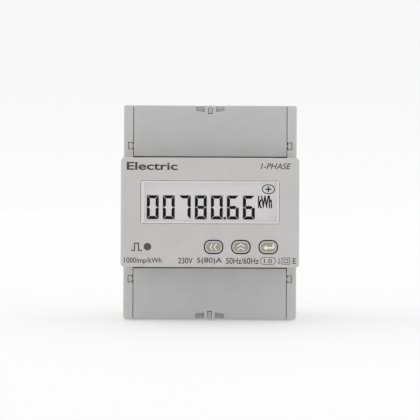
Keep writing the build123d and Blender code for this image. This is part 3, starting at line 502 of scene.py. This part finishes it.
def lettering(name, text, x, z, surface_y, material, slot, lean=0.0, weight=0.01):
    """Letters fitted to spans on X and Z, standing on a surface that faces the front."""
    curve = bpy.data.curves.new(name, "FONT")
    curve.body = text
    curve.size = 1.0
    curve.shear = lean
    curve.offset = weight
    curve.resolution_u = 6
    helper = bpy.data.objects.new(name, curve)
    bpy.context.scene.collection.objects.link(helper)
    bpy.context.view_layer.update()
    mesh = bpy.data.meshes.new_from_object(helper.evaluated_get(bpy.context.evaluated_depsgraph_get()))
    bpy.data.objects.remove(helper)
    xs = [v.co.x for v in mesh.vertices]
    ys = [v.co.y for v in mesh.vertices]
    for v in mesh.vertices:
        across = (v.co.x - min(xs)) / (max(xs) - min(xs))
        up = (v.co.y - min(ys)) / (max(ys) - min(ys))
        v.co = (x[0] + across * (x[1] - x[0]), surface_y, z[0] + up * (z[1] - z[0]))
    shape = bmesh.new()
    shape.from_mesh(mesh)
    bmesh.ops.remove_doubles(shape, verts=shape.verts, dist=0.001 * MM)
    raised = bmesh.ops.extrude_face_region(shape, geom=list(shape.faces))
    moved = [item for item in raised["geom"] if isinstance(item, bmesh.types.BMVert)]
    bmesh.ops.translate(shape, verts=moved, vec=(0, -PRINT_THICK, 0))
    bmesh.ops.recalc_face_normals(shape, faces=shape.faces)
    shape.to_mesh(mesh)
    shape.free()
    mesh.name = name
    placed(mesh, name, material, "housing")


def rounded(x, z, size):
    """A rectangle with rounded corners, given as half width, half height and corner radius."""
    half_w, half_h, radius = size
    steps = 8
    points = []
    for turn, (side_x, side_z) in enumerate(((1, 1), (-1, 1), (-1, -1), (1, -1))):
        for i in range(steps + 1):
            angle = math.radians(90 * (turn + i / steps))
            points.append((x + side_x * (half_w - radius) + radius * math.cos(angle),
                           z + side_z * (half_h - radius) + radius * math.sin(angle)))
    return points


def rectangle(left, right, low, high):
    """An upright rectangle, as an outline of points."""
    return [(left, low), (right, low), (right, high), (left, high)]


# ---- display ----
def digit_segments(left, low, letters):
    """Outlines of the lit segments of one seven-segment digit."""
    w, h, t, gap = DIGIT_WIDTH, DIGIT_HEIGHT, DIGIT_STROKE, SEGMENT_GAP
    mid = h / 2
    level = [(gap, h), (w - gap, h), (w - t - gap, h - t), (t + gap, h - t)]
    tip = t * 0.6
    bar = [(tip + gap, mid), (t + gap, mid + t / 2), (w - t - gap, mid + t / 2), (w - tip - gap, mid)]
    bar += [(w - t - gap, mid - t / 2), (t + gap, mid - t / 2)]
    upright = [(0, h - gap), (t, h - t - gap), (t, mid + t / 2 + gap), (tip, mid + gap), (0, mid + gap)]
    shapes = {"a": level, "g": bar, "f": upright}
    shapes["d"] = [(x, h - z) for x, z in level]
    shapes["b"] = [(w - x, z) for x, z in upright]
    shapes["e"] = [(x, h - z) for x, z in upright]
    shapes["c"] = [(w - x, h - z) for x, z in upright]
    return [[(left + x, low + z) for x, z in shapes[letter]] for letter in letters]


def display_reading():
    """The reading, its unit and the sign for imported energy."""
    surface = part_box("lcd_glass")[0].y
    outlines = []
    for i, digit in enumerate(READING):
        left = DIGIT_LEFT + i * DIGIT_PITCH
        outlines += digit_segments(left, DIGIT_LOW, SEGMENTS_ON[digit])
    point_x = DIGIT_LEFT + POINT_AFTER * DIGIT_PITCH - (DIGIT_PITCH - DIGIT_WIDTH) / 2
    half = POINT_SIZE / 2
    outlines.append(rectangle(point_x - half, point_x + half, DIGIT_LOW, DIGIT_LOW + POINT_SIZE))
    plates("lcd_digits", outlines, surface, LCD_INK, "housing")
    lettering("lcd_unit", "kWh", UNIT_X, UNIT_Z, surface, LCD_INK, "lcd_segment", weight=0.045)
    x, z = SIGN_X, SIGN_Z
    across, up = PLUS_HALF
    sign = stroke(ellipse(x, z, *SIGN_RADII), SIGN_LINE, closed=True)
    sign += stroke([(x - across, z), (x + across, z)], PLUS_LINE)
    for end in (-1, 1):
        sign += stroke([(x, z + end * PLUS_LINE / 2), (x, z + end * up)], PLUS_LINE)
    plates("lcd_import_sign", sign, surface, LCD_INK, "housing")


# ---- face ----
def face_text():
    """Generic lettering printed on the face: a title above, the ratings in a row below."""
    def printed(name, text, left, right, low=ROW_LOW, high=ROW_HIGH, **more):
        lettering(name, text, (left * MM, right * MM), (low, high), FACE_Y, PRINT_INK, "print_ink", **more)

    step = 0.1 * MM
    printed("print_title", "Electric", -33.6, -13.1, PRINT_Z + 16.6 * MM, PRINT_Z + 19.8 * MM, weight=0.022)
    printed("print_phase", "1-PHASE", 20.3, 32.6, PRINT_Z + 17.1 * MM, PRINT_Z + 19.5 * MM, lean=0.25,
            weight=0.008)
    printed("print_pulse_constant", "1000imp/kWh", -34.45, -19.4, ROW_LOW - 4 * step)
    printed("print_voltage", "230V", -12.7, -6.9)
    printed("print_current", "5(80)A", -5.2, 4.9, ROW_LOW - 3 * step, ROW_HIGH + step)
    printed("print_frequency", "50Hz/60Hz", 6.5, 19.7, ROW_LOW - step, ROW_HIGH + step)
    printed("print_class", "1.0", 21.8, 25.0, ROW_LOW + 3 * step, ROW_HIGH - 3 * step)
    printed("print_series", "E", 33.4, 34.6)


def face_symbols():
    """The class ring, a ring with a stem, a square in a square, and the pulse by the lamp."""
    x, half_w, half_h = CLASS_MARK
    marks = stroke(oblong(x, ROW_MID, half_w, half_h), THIN_LINE, closed=True)
    for half_w, half_h in SQUARES_HALF:
        square = rectangle(SQUARES_X - half_w, SQUARES_X + half_w, ROW_MID - half_h, ROW_MID + half_h)
        marks += stroke(square, MARK_LINE, closed=True)
    bulb = ellipse(BULB_X, ROW_LOW + 0.45 * MM, BULB_R, BULB_R, count=20)
    marks += stroke(bulb, THIN_LINE, closed=True)
    marks += stroke([(BULB_X, ROW_LOW + 0.95 * MM), (BULB_X, ROW_HIGH + 0.1 * MM)], MARK_LINE)
    plates("print_symbols", marks, FACE_Y, PRINT_INK, "housing")
    start, rise, fall, end = PULSE_X
    low, high = PULSE_Z
    pulse = [(start, low), (rise, low), (rise, high), (fall, high), (fall, low), (end, low)]
    plates("print_pulse_symbol", stroke(pulse, PULSE_LINE), FACE_Y, PRINT_INK, "housing")


def lens_border():
    """The light border printed around the lens's clear window."""
    low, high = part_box("display_lens")
    outer = rectangle(low.x + BORDER_MARGIN, high.x - BORDER_MARGIN, low.z + BORDER_MARGIN,
                      high.z - BORDER_MARGIN)
    inner = rectangle(*CLEAR_X, *CLEAR_Z)
    sides = []
    for i in range(4):
        j = (i + 1) % 4
        sides.append([outer[i], outer[j], inner[j], inner[i]])
    plates("lens_border", sides, low.y, LENS_PRINT, "housing")


# ---- buttons ----
def cap_middle(name):
    """The middle of a cap's dished floor."""
    low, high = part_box(f"{name}_button")
    return (low.x + high.x) / 2, low.y + KEY_DISH, (low.z + high.z) / 2


def key_print(name, outlines):
    """An olive face with an icon on one cap, and a dark plate around it that paints the shade in the gap
    round the cap.
    """
    x, y, z = cap_middle(name)
    body = f"{name}_key"
    plates(f"{name}_face", [rounded(x, z, KEY_FACE)], y, KEY_INK, body)
    # a dark plate on the flange, seen through the gap around the cap, is painted shade for that gap
    gap_shade = [rounded(x, z, KEY_GAP_SHADE)]
    plates(f"{name}_skirt", gap_shade, FACE_Y + GAP_SHADE_DEPTH, GAP_SHADE_INK, body, thick=GAP_SHADE_THICK)
    plates(f"{name}_icon", outlines, y - PRINT_THICK, ICON_INK, body)


def chevron_key(name, places, half_depth, half_span, sideways):
    """Open arrowheads, one behind the other."""
    x, _, z = cap_middle(name)
    outlines = []
    for place in places:
        line = [(place + half_depth, half_span), (place - half_depth, 0), (place + half_depth, -half_span)]
        if not sideways:
            line = [(across, -along) for along, across in line]
        outlines += stroke([(x + u * MM, z + v * MM) for u, v in line], KEY_LINE)
    key_print(name, outlines)


def enter_key():
    """An arrow that turns back to the left."""
    x, _, z = cap_middle("enter")
    neck, reach = 0.65 * MM, 2.1 * MM
    shaft_z = z - 0.25 * MM
    arrow = [[(x - reach, shaft_z), (x - neck, z + 0.8 * MM), (x - neck, z - 1.3 * MM)]]
    arrow += stroke([(x - neck, shaft_z), (x + reach, shaft_z), (x + reach, z + 1.25 * MM)], 0.75 * MM)
    key_print("enter", arrow)


# ---- terminal numerals ----
def terminal_numerals():
    """Numerals beside the mains and auxiliary terminal screws, seen when the covers are open."""
    def numeral(name, text, x, z, height, surface_y, material, slot):
        wide = height * (0.16 if text == "1" else 0.55)
        span_x = (x - wide / 2, x + wide / 2)
        span_z = (z - height / 2, z + height / 2)
        lettering(name, text, span_x, span_z, surface_y, material, slot, weight=0.015)

    def screw_x(pole):
        low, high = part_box(f"{pole}_screw")
        return (low.x + high.x) / 2

    mains = {"1": "line_in", "3": "neutral_in", "2": "line_out", "4": "neutral_out"}
    for label, pole in mains.items():
        x = screw_x(pole)
        x -= math.copysign(MAINS_NUMERAL_SHIFT, x)
        side = 1 if pole.endswith("in") else -1
        numeral(f"numeral_{label}", label, x, MID_Z + side * MAINS_NUMERAL_Z, MAINS_NUMERAL,
                TERMINAL_FACE_Y, PRINT_INK, "print_ink")
    aux_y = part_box("aux_terminal_block")[0].y
    for label, pole in zip("5678", ("bus_a", "bus_b", "pulse_plus", "pulse_minus")):
        numeral(f"numeral_{pole}", label, screw_x(pole), AUX_NUMERAL_Z, AUX_NUMERAL, aux_y, ICON_INK,
                "icon_ink")


display_reading()
face_text()
face_symbols()
chevron_key("left", (-0.95, 0.75), 0.48, 1.4, sideways=True)
chevron_key("up", (-0.65, 0.75), 0.45, 1.55, sideways=False)
enter_key()
lens_border()
terminal_numerals()


# ---- clip spring ----
def coil_spring():
    """A compression spring with closed end turns, built in place of the CAD spring."""
    low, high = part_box("clip_spring")
    wire, turns = SPRING_WIRE_R, SPRING_TURNS
    x, y = (low.x + high.x) / 2, (low.y + high.y) / 2
    radius = (high.x - low.x) / 2 - wire
    closed = SPRING_END_TURNS / turns
    closed_pitch = 2.1 * wire
    open_rise = high.z - low.z - 2 * wire - 2 * closed_pitch * SPRING_END_TURNS
    total = int(turns * SPRING_STEPS)
    mesh = bpy.data.meshes.new("clip_spring_coil")
    shape = bmesh.new()
    rings = []
    for i in range(total + 1):
        t = i / total
        angle = 2 * math.pi * turns * t
        rise = closed_pitch * turns * min(t, closed)
        if t > closed:
            rise += open_rise * (min(t, 1 - closed) - closed) / (1 - 2 * closed)
        if t > 1 - closed:
            rise += closed_pitch * turns * (t - 1 + closed)
        centre = Vector((x + radius * math.cos(angle), y + radius * math.sin(angle), low.z + wire + rise))
        outward = Vector((math.cos(angle), math.sin(angle), 0))
        ring = []
        for k in range(SPRING_SIDES):
            turn = 2 * math.pi * k / SPRING_SIDES
            offset = outward * wire * math.cos(turn) + Vector((0, 0, wire * math.sin(turn)))
            ring.append(shape.verts.new(centre + offset))
        rings.append(ring)
    for first, second in zip(rings, rings[1:]):
        for k in range(SPRING_SIDES):
            j = (k + 1) % SPRING_SIDES
            shape.faces.new((first[k], second[k], second[j], first[j]))
    shape.faces.new(rings[0])
    shape.faces.new(list(reversed(rings[-1])))
    bmesh.ops.recalc_face_normals(shape, faces=shape.faces)
    for face in shape.faces:
        face.smooth = True
    shape.to_mesh(mesh)
    shape.free()
    piece = placed(mesh, "clip_spring_coil", looks["spring_steel"], "housing")
    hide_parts("clip_spring")
    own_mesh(piece)


coil_spring()


# ---- camera, light and floor ----
def add_camera():
    """Level and square to the face, as the meter is seen in a catalogue."""
    camera = bpy.data.objects.new("camera", bpy.data.cameras.new("camera"))
    camera.data.sensor_width = SENSOR
    camera.data.lens = CAMERA_DISTANCE * SENSOR / FRAME_WIDTH
    camera.location = (0, FACE_Y - CAMERA_DISTANCE, CAMERA_Z)
    camera.rotation_euler = (math.radians(90), math.radians(CAMERA_ROLL), 0)
    camera.data.clip_start = 0.01
    camera.data.clip_end = 50
    bpy.context.scene.collection.objects.link(camera)
    bpy.context.scene.camera = camera


def add_floor():
    """A wide pale sheet."""
    finish = Finish("floor_sheet", 0.85, Specular_IOR_Level=0.1, Emission_Strength=FLOOR_GLOW,
                    Emission_Color=(1.0, 1.0, 1.0, 1.0))
    dull, pale = [(value, value, value, 1.0) for value in (FLOOR_TONE - 0.005, FLOOR_TONE + 0.005)]
    finish.paint(finish.noise(0.4, detail=2.0), [(NOISE_LOW, dull), (NOISE_HIGH, pale)])
    mesh = bpy.data.meshes.new("floor")
    outline = rectangle(-FLOOR_REACH, FLOOR_REACH, -FLOOR_REACH, FLOOR_REACH)
    corners = [(x, y, 0) for x, y in outline]
    mesh.from_pydata(corners, [], [(0, 1, 2, 3)])
    mesh.materials.append(finish.material)
    floor = bpy.data.objects.new("floor", mesh)
    bpy.context.scene.collection.objects.link(floor)


def add_sky():
    """A plain white room whose brightness changes a little with direction."""
    world = bpy.data.worlds.new("soft_room")
    world.use_nodes = True
    sky = world.node_tree.nodes["Background"]
    sky.inputs["Color"].default_value = (1.0, 1.0, 1.0, 1.0)
    nodes, links = world.node_tree.nodes, world.node_tree.links
    direction = nodes.new("ShaderNodeSeparateXYZ")
    links.new(nodes.new("ShaderNodeTexCoord").outputs["Generated"], direction.inputs["Vector"])

    def slope(axis, start, end, low, high):
        """Brightness that runs from low to high between two values of a direction's part."""
        node = nodes.new("ShaderNodeMapRange")
        for socket, value in zip(("From Min", "From Max", "To Min", "To Max"), (start, end, low, high)):
            node.inputs[socket].default_value = value
        links.new(direction.outputs[axis], node.inputs["Value"])
        return node.outputs["Result"]

    total = slope("Y", -1.0, 0.1, SKY_FRONT, SKY_BACK)
    left = slope("X", -1.0, -0.35, SKY_LEFT, 0.0)
    right = slope("X", 0.35, 1.0, 0.0, SKY_RIGHT)
    low = slope("Z", 0.0, 0.1, SKY_LOW, 0.0)
    for more in (left, right, low):
        added = nodes.new("ShaderNodeMath")
        links.new(total, added.inputs[0])
        links.new(more, added.inputs[1])
        total = added.outputs["Value"]
    links.new(total, sky.inputs["Strength"])
    bpy.context.scene.world = world


def add_overhead():
    """A broad, soft light from above and a little behind the meter."""
    light = bpy.data.objects.new("overhead", bpy.data.lights.new("overhead", "SUN"))
    light.data.energy = OVERHEAD
    light.data.angle = math.radians(100)
    light.rotation_euler = (math.radians(-18), math.radians(-14), 0)
    bpy.context.scene.collection.objects.link(light)


add_camera()
add_overhead()
add_floor()
add_sky()
bpy.context.scene.view_settings.view_transform = "Standard"
